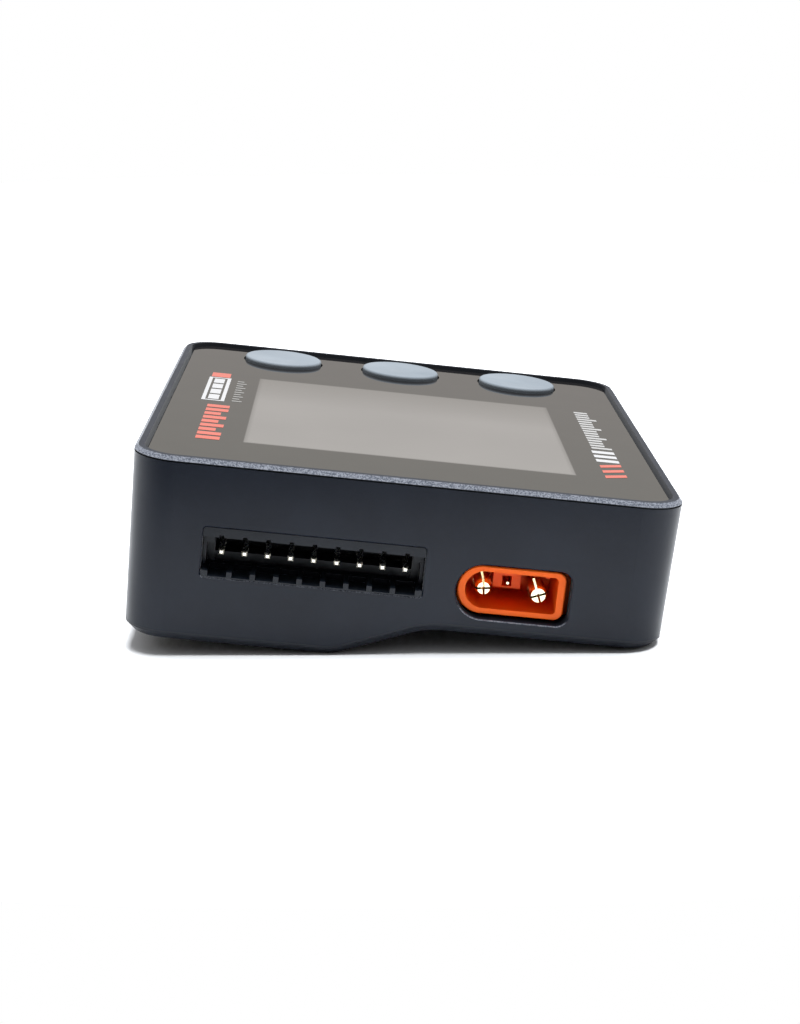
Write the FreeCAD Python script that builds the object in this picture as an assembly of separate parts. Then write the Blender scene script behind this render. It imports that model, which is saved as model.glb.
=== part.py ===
"""Handheld balance battery charger: a flat two-shell box with a sunk window, three push buttons,
a nine-way balance header and a D-shaped battery socket on the front wall, and two boards inside.

Frame: millimetres, +Z up, +X to the right when facing the port wall, which is at -Y.
The origin is the centre of the bounding box's bottom: the flat of the hump under the left half.
"""
import FreeCAD
import Part
import math
import os

from FreeCAD import Vector

# --- driving dimensions -------------------------------------------------------------------------
WIDTH = 60.0            # X, across the port wall
DEPTH = 70.0            # Y, port wall to rear wall
RIM_Z = 20.6            # top of the rim round the window
CORNER_R = 5.0          # plan radius of the case corners
DRAFT = 0.45            # how far each wall leans in from rim to base
WALL = 1.8              # side wall thickness
RIM_W = 1.1             # flat rim round the window
RIM_CHAMFER = 0.45      # bevel on the rim's outer edge
CREASE = 0.18           # width and depth of the fine groove under that bevel
PORT_CHAMFER = 0.12     # on the outer edges of the port openings

HUMP_RISE = 3.9         # how much higher the underside is on the right
HUMP_EDGE_X = -6.5      # where the hump's flat ends
RAISED_EDGE_X = 3.4     # where the raised flat begins
HUMP_EDGE_R = 6.0
RAISED_EDGE_R = 10.0
BEVEL = 0.75            # bevel round the underside
PARTING = 1.0           # height of the shells' parting line over the underside
COVER_T = 1.5           # bottom cover plate
TONGUE_GAP = 0.15       # between the cover's plate and the inside of the walls

WINDOW_SINK = 0.45      # window surface below the rim
WINDOW_T = 1.2
WINDOW_GAP = 0.3        # round the window
TAPE_T = 0.15
LEDGE_T = 1.5

SCREEN_W = 37.6         # visible screen
SCREEN_D = 37.0
SCREEN_X = 0.2
SCREEN_Y = -4.75

BUTTON_R = 5.2
BUTTON_PITCH = 16.1
BUTTON_Y = 27.3
BUTTON_PROUD = 0.6      # button top over the window
BUTTON_EDGE_R = 0.35    # rounding of its edge
BUTTON_FLANGE = 0.8     # how far its flange reaches under the ledge
BUTTON_DISH = 0.12      # how deep its top is dished
BUTTON_TRAVEL = 0.4

UI_BOARD_Z = 13.9       # underside of the display board
UI_BOARD_T = 1.2
MAIN_BOARD_Z = 5.9      # underside of the main board
MAIN_BOARD_T = 1.6
BOARD_GAP = 0.6         # between a board and the walls

LABEL_X = 14.5          # rating label, sunk into the raised part of the underside
LABEL_W = 18.0
LABEL_D = 34.0
LABEL_SINK = 0.25
LABEL_T = 0.15

BOSS_X = 25.2           # case screw posts
BOSS_Y = 30.2
BOSS_R = 2.6

PIN_PITCH = 2.5
PIN_COUNT = 9
PIN_X = -19.52          # first balance pin
PIN_Z = 10.31
PIN_SIDE = 0.6          # square pins
PIN_SINK = 1.1          # pin tips behind the port wall's face
PIN_HOLE = 0.66         # square holes they run in
HEADER_X = -9.54        # middle of the balance header
HEADER_Z = 10.42
HEADER_HOLE_W = 24.08   # opening in the port wall
HEADER_HOLE_H = 5.65
HEADER_HOLE_R = 0.4

SOCKET_X = 12.18        # middle of the battery socket
SOCKET_Z = 8.87
SOCKET_W = 11.76
SOCKET_H = 5.42
SOCKET_SIDE = 0.83      # its side walls
SOCKET_ROOF = 0.62      # its top and bottom walls
SOCKET_SINK = 1.3       # socket rim behind the port wall's face
SOCKET_L = 12.0
SOCKET_CLEAR = 0.4      # opening round the socket
CONTACT_R = 0.95        # battery contacts, radius
CONTACT_PITCH = 5.95
CONTACT_SINKS = [1.9, 1.1]   # contact tips behind the port wall's face, left and right

USB_W = 8.94
USB_H = 3.26
USB_L = 7.35
USB_SINK = 0.6

# --- heights and faces that follow from them ----------------------------------------------------
FRONT_Y = -DEPTH / 2
REAR_Y = DEPTH / 2
WINDOW_TOP = RIM_Z - WINDOW_SINK
WINDOW_BOTTOM = WINDOW_TOP - WINDOW_T
LEDGE_TOP = WINDOW_BOTTOM - TAPE_T
LEDGE_BOTTOM = LEDGE_TOP - LEDGE_T
UI_BOARD_TOP = UI_BOARD_Z + UI_BOARD_T
MAIN_BOARD_TOP = MAIN_BOARD_Z + MAIN_BOARD_T
INNER_HALF_W = WIDTH / 2 - WALL
INNER_HALF_D = DEPTH / 2 - WALL
BOARD_HALF_W = INNER_HALF_W - BOARD_GAP
BOARD_HALF_D = INNER_HALF_D - BOARD_GAP
BUTTON_X = [(i - 1) * BUTTON_PITCH for i in range(3)]
BUTTON_NAMES = ["left", "middle", "right"]
BOSSES = [(sx * BOSS_X, sy * BOSS_Y) for sx in (-1, 1) for sy in (-1, 1)]
FAR = 60.0              # longer than anything, for cutting tools

# --- display and switches -----------------------------------------------------------------------
LCD_GLASS_MARGIN = 1.7
LCD_TOP = WINDOW_BOTTOM - 0.35
LCD_GLASS_T = 1.3
LCD_FRAME_Z = LCD_TOP - 2.7
LCD_FRAME_GROW = 2.9

SWITCH_TOP = LEDGE_BOTTOM - 0.1         # plunger top, just touching the button's stem
SWITCH_BASE_T = 1.4
SWITCH_COVER_T = 0.2
SWITCH_SIZE = 6.0
SWITCH_WELL_R = 2.0
SWITCH_WELL_Z = UI_BOARD_TOP + 0.25     # floor that the dome stands on
DOME_TOP = SWITCH_WELL_Z + 0.35         # the dome is drawn in its pressed shape
COLLAR_Z = DOME_TOP + BUTTON_TRAVEL + 0.05

# --- header, sockets and links between the boards -----------------------------------------------
HEADER_GAP = 0.05                       # between the header and its opening
HEADER_W = HEADER_HOLE_W - 2 * HEADER_GAP
HEADER_H = HEADER_HOLE_H - 2 * HEADER_GAP
HEADER_FRONT_Y = FRONT_Y + 0.25
HEADER_CAVITY = 7.4                     # depth over the pins
HEADER_SEAT = 4.4                       # depth to the seat below the pins
HEADER_SEAT_Z = PIN_Z - 0.9             # top of that seat
HEADER_SIDE_SINK = 2.2                  # the side walls start behind the top wall's edge
HEADER_TOOTH_H = 0.75                   # height of the teeth along the bottom
HEADER_L = 11.5
HEADER_DROP_Y = -25.4                   # where the balance pins turn down through the board
HEADER_TOP_WALL = 1.05
HEADER_SIDE_WALL = 1.2
HEADER_FLOOR_T = 0.7
HEADER_STEP_Z = PIN_Z + 0.6             # the side walls thin down below this
POST_X = -18.45                         # first post of the comb along its bottom
POST_PITCH = 2.53
POST_W = 0.58

SOCKET_FRONT_Y = FRONT_Y + SOCKET_SINK
SOCKET_BACK_Y = SOCKET_FRONT_Y + SOCKET_L
SOCKET_FLOOR_Y = SOCKET_FRONT_Y + 8.0   # bottom of the socket's cavity
COLLAR_L = 1.0                          # collars round the contacts' roots
ROOT_R = 0.6                            # contact radius inside the housing
DATA_X = 11.98                          # middle of the third contact's block
DATA_BLOCK_W = 3.05
DATA_BLOCK_H = 2.73
DATA_BLOCK_SINK = 3.8                   # its face behind the socket's rim
DATA_HOLE = (1.05, 1.2)                 # width and height of the hole in its face
DATA_Z = SOCKET_Z + SOCKET_H / 2 - SOCKET_ROOF - 1.96   # middle of that hole
DATA_PIN_R = 0.15
DATA_PIN_X = DATA_X + 0.13              # the third contact lies low in its hole
DATA_PIN_Z = DATA_Z - 0.28
DATA_PIN_SINK = 0.1                     # its tip behind the block's face
FLANGE_Y = FRONT_Y + WALL + 3.4         # front of the socket's mounting flange
FLANGE_T = 1.0
TAB_L = 4.2                             # solder tabs behind the socket

USB_FRONT_Y = REAR_Y - USB_SINK
USB_BACK_Y = USB_FRONT_Y - USB_L
USB_Z = MAIN_BOARD_TOP + USB_H / 2
USB_SKIN = 0.3

LINK_X = -23.0
LINK_Y = -6.0
LINK_PITCH = 2.0
LINK_PINS = 8
LINK_SPLIT_Z = 10.0
LINK_PIN_W = 0.5

# --- heat path over the hump --------------------------------------------------------------------
THERMAL_Z = 3.2                         # top of the spreader
HUMP_X0 = -26.6
HUMP_X1 = -9.0


# --- small shape helpers ------------------------------------------------------------------------
def box(x0, x1, y0, y1, z0, z1):
    return Part.makeBox(x1 - x0, y1 - y0, z1 - z0, Vector(x0, y0, z0))


def block(x, y, z0, w, d, h):
    """A box of size w, d, h that stands on z0, centred on x, y."""
    return box(x - w / 2, x + w / 2, y - d / 2, y + d / 2, z0, z0 + h)


def disc(x, y, r, z0, z1):
    return Part.makeCylinder(r, z1 - z0, Vector(x, y, z0))


def rod_y(x, z, r, y0, y1):
    return Part.makeCylinder(r, y1 - y0, Vector(x, y0, z), Vector(0, 1, 0))


def fuse(shapes):
    first = shapes[0]
    return first.fuse(shapes[1:]).removeSplitter() if len(shapes) > 1 else first


def cut(shape, tools):
    return shape.cut(tools)


def loop_through(points, radii):
    """A closed wire through the points, with each corner rounded by its radius (0 keeps it sharp)."""
    count = len(points)
    edges = []
    ends = []
    for i in range(count):
        here = points[i]
        back = (points[i - 1] - here).normalize()
        ahead = (points[(i + 1) % count] - here).normalize()
        if radii[i] <= 0:
            ends.append((here, here))
            continue
        half = back.getAngle(ahead) / 2
        run = radii[i] / math.tan(half)
        start = here + back * run
        stop = here + ahead * run
        centre = here + (back + ahead).normalize() * (radii[i] / math.sin(half))
        middle = centre + (here - centre).normalize() * radii[i]
        edges.append((i, Part.Arc(start, middle, stop).toShape()))
        ends.append((start, stop))
    for i in range(count):
        start = ends[i][1]
        stop = ends[(i + 1) % count][0]
        if (stop - start).Length > 1e-6:
            edges.append((i + 0.5, Part.makeLine(start, stop)))
    edges.sort(key=lambda pair: pair[0])
    return Part.Wire([edge for _, edge in edges])


def plan_wire(x, y, w, d, r, z):
    """A rounded rectangle in plan."""
    corners = [(-1, -1), (1, -1), (1, 1), (-1, 1)]
    points = [Vector(x + sx * w / 2, y + sy * d / 2, z) for sx, sy in corners]
    return loop_through(points, [r] * 4)


def plan_block(x, y, w, d, r, z0, z1):
    """A rounded rectangle in plan, from z0 to z1."""
    return Part.Face(plan_wire(x, y, w, d, r, z0)).extrude(Vector(0, 0, z1 - z0))


def front_block(x, z, w, h, r, y0, y1):
    """A rounded rectangle seen from the front, from y0 to y1. r is one radius or four, from the
    lower left corner anticlockwise."""
    corners = [(-1, -1), (1, -1), (1, 1), (-1, 1)]
    points = [Vector(x + sx * w / 2, y0, z + sz * h / 2) for sx, sz in corners]
    radii = list(r) if isinstance(r, (list, tuple)) else [r] * 4
    return Part.Face(loop_through(points, radii)).extrude(Vector(0, y1 - y0, 0))


def ring_frame(x, y, outer, inner, r, z0, z1):
    """A flat rectangular frame: outer and inner are (width, depth)."""
    body = plan_block(x, y, outer[0], outer[1], r, z0, z1)
    return body.cut(block(x, y, z0 - 1, inner[0], inner[1], z1 - z0 + 2))


def turned(profile, x, y):
    """Turns a closed outline of (radius, height) points about the vertical axis at x, y."""
    points = [Vector(x + r, y, z) for r, z in profile]
    face = Part.Face(Part.makePolygon(points + points[:1]))
    return face.revolve(Vector(x, y, 0), Vector(0, 0, 1), 360)


def bent_strip(points, radii, thick, x0, x1):
    """A strip of even thickness that follows points in the Y-Z plane and is x1 - x0 wide."""
    def side(offset):
        moved = []
        for i, (y, z) in enumerate(points):
            normals = []
            for a, b in ((i - 1, i), (i, i + 1)):
                if a < 0 or b >= len(points):
                    continue
                dy, dz = points[b][0] - points[a][0], points[b][1] - points[a][1]
                size = math.hypot(dy, dz)
                normals.append((-dz / size, dy / size))
            ny, nz = (sum(n[k] for n in normals) / len(normals) for k in (0, 1))
            scale = offset / (ny * ny + nz * nz)
            moved.append(Vector(x0, y + ny * scale, z + nz * scale))
        return moved

    left, right = side(thick / 2), side(-thick / 2)
    turn = []
    for i in range(len(points)):
        if i in (0, len(points) - 1):
            turn.append(0)
            continue
        y, z = points[i]
        a, b = points[i - 1], points[i + 1]
        turn.append((y - a[0]) * (b[1] - z) - (z - a[1]) * (b[0] - y))
    left_r = [max(r - thick / 2, 0.05) if t > 0 else r + thick / 2 if t else 0
              for r, t in zip(radii, turn)]
    right_r = [r + thick / 2 if t > 0 else max(r - thick / 2, 0.05) if t else 0
               for r, t in zip(radii, turn)]
    wire = loop_through(left + right[::-1], left_r + right_r[::-1])
    return Part.Face(wire).extrude(Vector(x1 - x0, 0, 0))


# --- case ---------------------------------------------------------------------------------------
def case_envelope(inset=0.0):
    """The drafted outer form of the case, moved in by inset."""
    top = plan_wire(0, 0, WIDTH - 2 * inset, DEPTH - 2 * inset, CORNER_R - inset, RIM_Z)
    lean = inset + DRAFT
    base = plan_wire(0, 0, WIDTH - 2 * lean, DEPTH - 2 * lean, CORNER_R - lean, 0)
    return Part.makeLoft([base, top], True, True)


def above_underside(lift):
    """Everything over the underside's stepped line, raised by lift."""
    points = [
        Vector(-FAR, 0, lift),
        Vector(HUMP_EDGE_X, 0, lift),
        Vector(RAISED_EDGE_X, 0, lift + HUMP_RISE),
        Vector(FAR, 0, lift + HUMP_RISE),
        Vector(FAR, 0, FAR),
        Vector(-FAR, 0, FAR),
    ]
    wire = loop_through(points, [0, HUMP_EDGE_R, RAISED_EDGE_R, 0, 0, 0])
    face = Part.Face(wire)
    face.translate(Vector(0, -FAR, 0))
    return face.extrude(Vector(0, 2 * FAR, 0))


def case_outside():
    """The whole outer form, with the bevel round the underside and the one on the rim."""
    body = case_envelope().common(above_underside(0))
    under = []
    for edge in body.Edges:
        middle = edge.valueAt((edge.FirstParameter + edge.LastParameter) / 2)
        points = [v.Point for v in edge.Vertexes] + [middle]
        runs_across = abs(middle.y) < 1 and abs(middle.x) < 20
        if all(p.z < HUMP_RISE + 0.01 for p in points) and not runs_across:
            under.append(edge)
    body = body.makeChamfer(BEVEL, under)
    rim = [e for e in body.Edges
           if all(abs(v.Point.z - RIM_Z) < 1e-4 for v in e.Vertexes) and e.Length > 1.0]
    return body.makeChamfer(RIM_CHAMFER, rim)


def header_opening():
    return front_block(HEADER_X, HEADER_Z, HEADER_HOLE_W, HEADER_HOLE_H, HEADER_HOLE_R,
                       FRONT_Y - 1, FRONT_Y + WALL + 1)


def socket_outline(grow_w, grow_h, y0, y1):
    """The battery socket's D form seen from the front, round on the left, each wall moved out."""
    w, h = SOCKET_W + 2 * grow_w, SOCKET_H + 2 * grow_h
    round_r = h / 2 - 0.01
    nose_r = 1.0 + max(grow_w, -0.5)
    return front_block(SOCKET_X, SOCKET_Z, w, h, [round_r, nose_r, nose_r, round_r], y0, y1)


def socket_opening():
    """The D-shaped hole in the port wall, a little wider on the right than the socket needs."""
    shape = socket_outline(SOCKET_CLEAR, SOCKET_CLEAR, FRONT_Y - 1, FRONT_Y + WALL + 1)
    shape.translate(Vector(0.15, 0, 0))
    return shape


def usb_opening():
    z = MAIN_BOARD_TOP + USB_H / 2
    return front_block(0, z, USB_W + 0.7, USB_H + 0.7, USB_H / 2 + 0.34,
                       REAR_Y - WALL - 1, REAR_Y + 1)


def rim_crease():
    """The ring that the fine groove under the rim's bevel takes away."""
    top = RIM_Z - RIM_CHAMFER - 0.02
    slab = box(-FAR, FAR, -FAR, FAR, top - CREASE, top)
    return slab.cut(case_envelope(CREASE))


def is_port_edge(edge):
    """Whether an edge is part of a port opening's outline on the outside of its wall."""
    middle = edge.valueAt((edge.FirstParameter + edge.LastParameter) / 2)
    for point in [v.Point for v in edge.Vertexes] + [middle]:
        wall_y = DEPTH / 2 - DRAFT * (1 - point.z / RIM_Z)
        if abs(abs(point.y) - wall_y) > 1e-3 or not 5.2 < point.z < 15 or abs(point.x) > 24:
            return False
    return True


def make_top_case(outside):
    body = outside.common(above_underside(PARTING))
    cavity = case_envelope(WALL).common(box(-FAR, FAR, -FAR, FAR, -1, LEDGE_BOTTOM))
    recess = plan_block(0, 0, WIDTH - 2 * RIM_W, DEPTH - 2 * RIM_W, CORNER_R - RIM_W,
                        LEDGE_TOP, RIM_Z + 1)
    frame_hole = block(SCREEN_X, SCREEN_Y, LEDGE_BOTTOM - 1, SCREEN_W + 6.6, SCREEN_D + 6.6, 4)
    body = cut(body, [cavity, recess, frame_hole])
    posts = [disc(x, y, BOSS_R, MAIN_BOARD_TOP, LEDGE_BOTTOM + 0.2) for x, y in BOSSES]
    posts += [disc(x, y, 2.0, UI_BOARD_TOP, LEDGE_BOTTOM + 0.2) for x, y in ui_screw_places()]
    inside = case_envelope(0.9)
    body = fuse([body] + [post.common(inside) for post in posts])
    tools = [disc(x, y, 1.05, MAIN_BOARD_TOP - 1, 15.0) for x, y in BOSSES]
    tools += [disc(x, y, 0.85, UI_BOARD_TOP - 1, 16.8) for x, y in ui_screw_places()]
    for x in BUTTON_X:
        tools.append(disc(x, BUTTON_Y, BUTTON_R + 0.35, LEDGE_BOTTOM - 1, LEDGE_TOP + 1))
        tools.append(disc(x, BUTTON_Y, BUTTON_R + BUTTON_FLANGE + 0.3, LEDGE_BOTTOM - 1,
                          LEDGE_BOTTOM + 0.9))
    tools += [header_opening(), socket_opening(), usb_opening(), rim_crease()]
    body = cut(body, tools)
    return body.makeChamfer(PORT_CHAMFER, [e for e in body.Edges if is_port_edge(e)])


def make_bottom_cover(outside):
    skin = outside.cut(above_underside(PARTING))
    plate = case_envelope(WALL + TONGUE_GAP).common(above_underside(BEVEL / 2))
    plate = plate.cut(above_underside(COVER_T))
    body = fuse([skin, plate])
    posts, holes = [], []
    for x, y in BOSSES:
        floor = 0 if x < 0 else HUMP_RISE
        seat = 3.0 if x < 0 else floor + 1.1
        posts.append(disc(x, y, BOSS_R, floor + 1.0, MAIN_BOARD_Z))
        holes.append(disc(x, y, 2.1, floor - 1, seat))
        holes.append(disc(x, y, 1.15, seat - 0.5, MAIN_BOARD_Z + 1))
    inner = case_envelope(WALL + TONGUE_GAP)
    body = fuse([body] + [post.common(inner) for post in posts])
    holes.append(plan_block(LABEL_X, 0, LABEL_W + 0.6, LABEL_D + 0.6, 1.6,
                            HUMP_RISE - 1, HUMP_RISE + LABEL_SINK))
    return cut(body, holes)


def make_rating_label():
    z = HUMP_RISE + LABEL_SINK
    return plan_block(LABEL_X, 0, LABEL_W, LABEL_D, 1.3, z - LABEL_T, z)


def make_window():
    """The clear window, bored for the three buttons."""
    margin = RIM_W + WINDOW_GAP
    body = plan_block(0, 0, WIDTH - 2 * margin, DEPTH - 2 * margin, CORNER_R - margin,
                      WINDOW_BOTTOM, WINDOW_TOP)
    edges = [e for e in body.Edges if all(abs(v.Point.z - WINDOW_TOP) < 1e-6 for v in e.Vertexes)]
    body = body.makeChamfer(0.12, edges)
    return cut(body, [disc(x, BUTTON_Y, BUTTON_R + 0.2, 0, FAR) for x in BUTTON_X])


def make_window_tape():
    margin = RIM_W + WINDOW_GAP + 0.2
    outer = plan_block(0, 0, WIDTH - 2 * margin, DEPTH - 2 * margin, 3.2,
                       LEDGE_TOP, WINDOW_BOTTOM)
    hole = block(SCREEN_X, SCREEN_Y, LEDGE_TOP - 1, SCREEN_W + 7.4, SCREEN_D + 7.4, 3)
    return cut(outer, [hole] + [disc(x, BUTTON_Y, BUTTON_R + 0.6, 0, FAR) for x in BUTTON_X])


def screw(x, y, head_bottom, head_h, head_r, shaft_r, shaft_l):
    """A pan head screw driven upwards, with a cross recess in its head."""
    top = head_bottom + head_h
    head = turned([(0, head_bottom), (head_r * 0.72, head_bottom),
                   (head_r, head_bottom + head_h * 0.45), (head_r, top), (0, top)], x, y)
    shaft = disc(x, y, shaft_r, top - 0.1, top + shaft_l - shaft_r * 0.5)
    tip = Part.makeCone(shaft_r, shaft_r * 0.5, shaft_r * 0.5,
                        Vector(x, y, top + shaft_l - shaft_r * 0.5))
    body = fuse([head, shaft, tip])
    slot_w, slot_l, deep = head_r * 0.26, head_r * 1.15, head_h * 0.6
    slots = [block(x, y, head_bottom - 1, slot_l, slot_w, 1 + deep),
             block(x, y, head_bottom - 1, slot_w, slot_l, 1 + deep)]
    return cut(body, slots)


def make_case_screws():
    shapes = []
    for x, y in BOSSES:
        seat = 3.0 if x < 0 else HUMP_RISE + 1.1
        shapes.append(screw(x, y, seat - 1.0, 1.0, 1.9, 1.0, 9.0))
    return shapes


# --- buttons and their switches -----------------------------------------------------------------
def make_button(x):
    """A cap with a shallow dished top, held under the ledge by its flange."""
    top = WINDOW_TOP + BUTTON_PROUD
    flange_top = LEDGE_BOTTOM + 0.85
    flange_r = BUTTON_R + BUTTON_FLANGE
    profile = [(0, LEDGE_BOTTOM), (flange_r, LEDGE_BOTTOM), (flange_r, flange_top),
               (BUTTON_R, flange_top)]
    for degrees in (0, 22.5, 45, 67.5, 90):
        angle = math.radians(degrees)
        profile.append((BUTTON_R - BUTTON_EDGE_R * (1 - math.cos(angle)),
                        top - BUTTON_EDGE_R * (1 - math.sin(angle))))
    profile += [(BUTTON_R - 0.9, top), (0, top - BUTTON_DISH)]
    cap = turned(profile, x, BUTTON_Y)
    stem = disc(x, BUTTON_Y, 1.5, SWITCH_TOP, LEDGE_BOTTOM + 0.2)
    return fuse([cap, stem])


def make_switch_base(x):
    body = plan_block(x, BUTTON_Y, SWITCH_SIZE, SWITCH_SIZE, 0.5, UI_BOARD_TOP,
                      UI_BOARD_TOP + SWITCH_BASE_T)
    return body.cut(disc(x, BUTTON_Y, SWITCH_WELL_R, SWITCH_WELL_Z, FAR))


def make_switch_cover(x):
    z = UI_BOARD_TOP + SWITCH_BASE_T
    body = plan_block(x, BUTTON_Y, SWITCH_SIZE, SWITCH_SIZE, 0.5, z, z + SWITCH_COVER_T)
    return body.cut(disc(x, BUTTON_Y, 1.3, 0, FAR))


def make_switch_plunger(x):
    collar = COLLAR_Z + 0.25
    profile = [(0, COLLAR_Z), (1.7, COLLAR_Z), (1.7, collar), (1.15, collar),
               (1.15, SWITCH_TOP - 0.1), (1.05, SWITCH_TOP), (0, SWITCH_TOP)]
    return turned(profile, x, BUTTON_Y)


def make_switch_dome(x):
    """The snap spring: a thin cone frustum with a flat top, standing in the switch's well."""
    sheet = 0.08
    foot_r, top_r = SWITCH_WELL_R - 0.05, 0.7
    z0, z1 = SWITCH_WELL_Z, DOME_TOP
    profile = [(foot_r, z0), (top_r, z1), (0, z1), (0, z1 - sheet),
               (top_r - 0.05, z1 - sheet), (foot_r - 0.22, z0)]
    return turned(profile, x, BUTTON_Y)


# --- display ------------------------------------------------------------------------------------
def make_lcd_glass():
    grow = 2 * LCD_GLASS_MARGIN
    return block(SCREEN_X, SCREEN_Y, LCD_TOP - LCD_GLASS_T, SCREEN_W + grow, SCREEN_D + grow,
                 LCD_GLASS_T)


def make_lcd_frame():
    outer = plan_block(SCREEN_X, SCREEN_Y, SCREEN_W + 2 * LCD_FRAME_GROW,
                       SCREEN_D + 2 * LCD_FRAME_GROW, 0.6, LCD_FRAME_Z, LCD_TOP - 0.1)
    grow = 2 * LCD_GLASS_MARGIN + 0.2
    pocket = block(SCREEN_X, SCREEN_Y, LCD_TOP - LCD_GLASS_T, SCREEN_W + grow, SCREEN_D + grow, 3)
    return outer.cut(pocket)


def make_lcd_gasket():
    """The foam frame that keeps dust out between the screen and the window."""
    return ring_frame(SCREEN_X, SCREEN_Y, (SCREEN_W + 3.0, SCREEN_D + 3.0),
                      (SCREEN_W + 1.0, SCREEN_D + 1.0), 0.8, LCD_TOP, WINDOW_BOTTOM)


def make_lcd_pads():
    """Two foam strips between the display and its board."""
    return [block(SCREEN_X + s * 14, SCREEN_Y, UI_BOARD_TOP, 6, 34, LCD_FRAME_Z - UI_BOARD_TOP)
            for s in (-1, 1)]


def make_lcd_ribbon():
    """The flat flex from the display's front edge down to its pads on the board."""
    y0 = SCREEN_Y - SCREEN_D / 2 - LCD_FRAME_GROW - 0.05
    z1 = UI_BOARD_TOP + 0.075
    points = [(y0, LCD_TOP - 1.7), (y0 - 1.1, LCD_TOP - 1.7), (y0 - 1.1, z1), (y0 - 3.4, z1)]
    return bent_strip(points, [0, 0.5, 0.5, 0], 0.15, SCREEN_X - 9, SCREEN_X + 9)


# --- display board ------------------------------------------------------------------------------
def ui_screw_places():
    return [(sx * 25.0, y) for sx in (-1, 1) for y in (-22.0, 13.0)]


def make_ui_board():
    body = plan_block(0, 0, 2 * BOARD_HALF_W, 2 * BOARD_HALF_D, 2.0, UI_BOARD_Z, UI_BOARD_TOP)
    holes = [disc(x, y, 1.0, 0, FAR) for x, y in ui_screw_places()]
    return cut(body, holes + [disc(x, y, BOSS_R + 0.5, 0, FAR) for x, y in BOSSES])


def make_ui_screws():
    return [screw(x, y, UI_BOARD_Z - 1.0, 1.0, 1.6, 0.8, 2.6) for x, y in ui_screw_places()]


def make_processor():
    """A square chip with its pins, under the display board."""
    x, y, size, z = 6.0, -2.0, 7.0, UI_BOARD_Z
    chip = [block(x, y, z - 1.3, size, size, 1.3)]
    for i in range(12):
        along = (i - 5.5) * 0.5
        for side in (-1, 1):
            out = side * (size / 2 + 0.5)
            chip.append(block(x + out, y + along, z - 0.2, 1.04, 0.22, 0.2))
            chip.append(block(x + along, y + out, z - 0.2, 0.22, 1.04, 0.2))
    return [fuse(chip)]


def make_ui_small_parts():
    """Chip capacitors and resistors under the display board."""
    places = [(14.5, -6), (14.5, -3.5), (14.5, -1), (14.5, 1.5), (-3.0, 6), (0.0, 6), (3.0, 6),
              (9.0, 8), (-4.0, -8), (-1.5, -8), (12.0, -10), (18.0, 4)]
    return [block(x, y, UI_BOARD_Z - 0.8, 1.0, 1.8, 0.8) for x, y in places]


def make_link_socket():
    """The female strip under the display board."""
    body = block(LINK_X, LINK_Y, LINK_SPLIT_Z, 2.4, LINK_PITCH * LINK_PINS + 0.6,
                 UI_BOARD_Z - LINK_SPLIT_Z)
    holes = [block(LINK_X, y, LINK_SPLIT_Z - 1, 0.8, 0.8, UI_BOARD_Z - LINK_SPLIT_Z + 0.4)
             for y in link_rows()]
    return cut(body, holes)


def link_rows():
    return [LINK_Y + (i - (LINK_PINS - 1) / 2) * LINK_PITCH for i in range(LINK_PINS)]


def make_link_header():
    body = block(LINK_X, LINK_Y, MAIN_BOARD_TOP, 2.4, LINK_PITCH * LINK_PINS + 0.6,
                 LINK_SPLIT_Z - MAIN_BOARD_TOP)
    return cut(body, [block(LINK_X, y, 0, LINK_PIN_W, LINK_PIN_W, FAR) for y in link_rows()])


def make_link_pins():
    return [block(LINK_X, y, MAIN_BOARD_TOP, LINK_PIN_W, LINK_PIN_W, 5.4) for y in link_rows()]


# --- main board ---------------------------------------------------------------------------------
def make_main_board():
    body = plan_block(0, 0, 2 * BOARD_HALF_W, 2 * BOARD_HALF_D, 2.0, MAIN_BOARD_Z,
                      MAIN_BOARD_TOP)
    tools = [disc(x, y, 1.2, 0, FAR) for x, y in BOSSES]
    tools += [disc(x, HEADER_DROP_Y, 0.55, 0, FAR) for x in balance_places()]
    half = SOCKET_W / 2 + 0.5
    tools.append(box(SOCKET_X - half, SOCKET_X + half, -FAR, SOCKET_BACK_Y + 0.3, 0, FAR))
    half += 1.3
    tools.append(box(SOCKET_X - half, SOCKET_X + half, -FAR, FLANGE_Y + FLANGE_T + 0.2, 0, FAR))
    return cut(body, tools)


def balance_places():
    return [PIN_X + i * PIN_PITCH for i in range(PIN_COUNT)]


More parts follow.
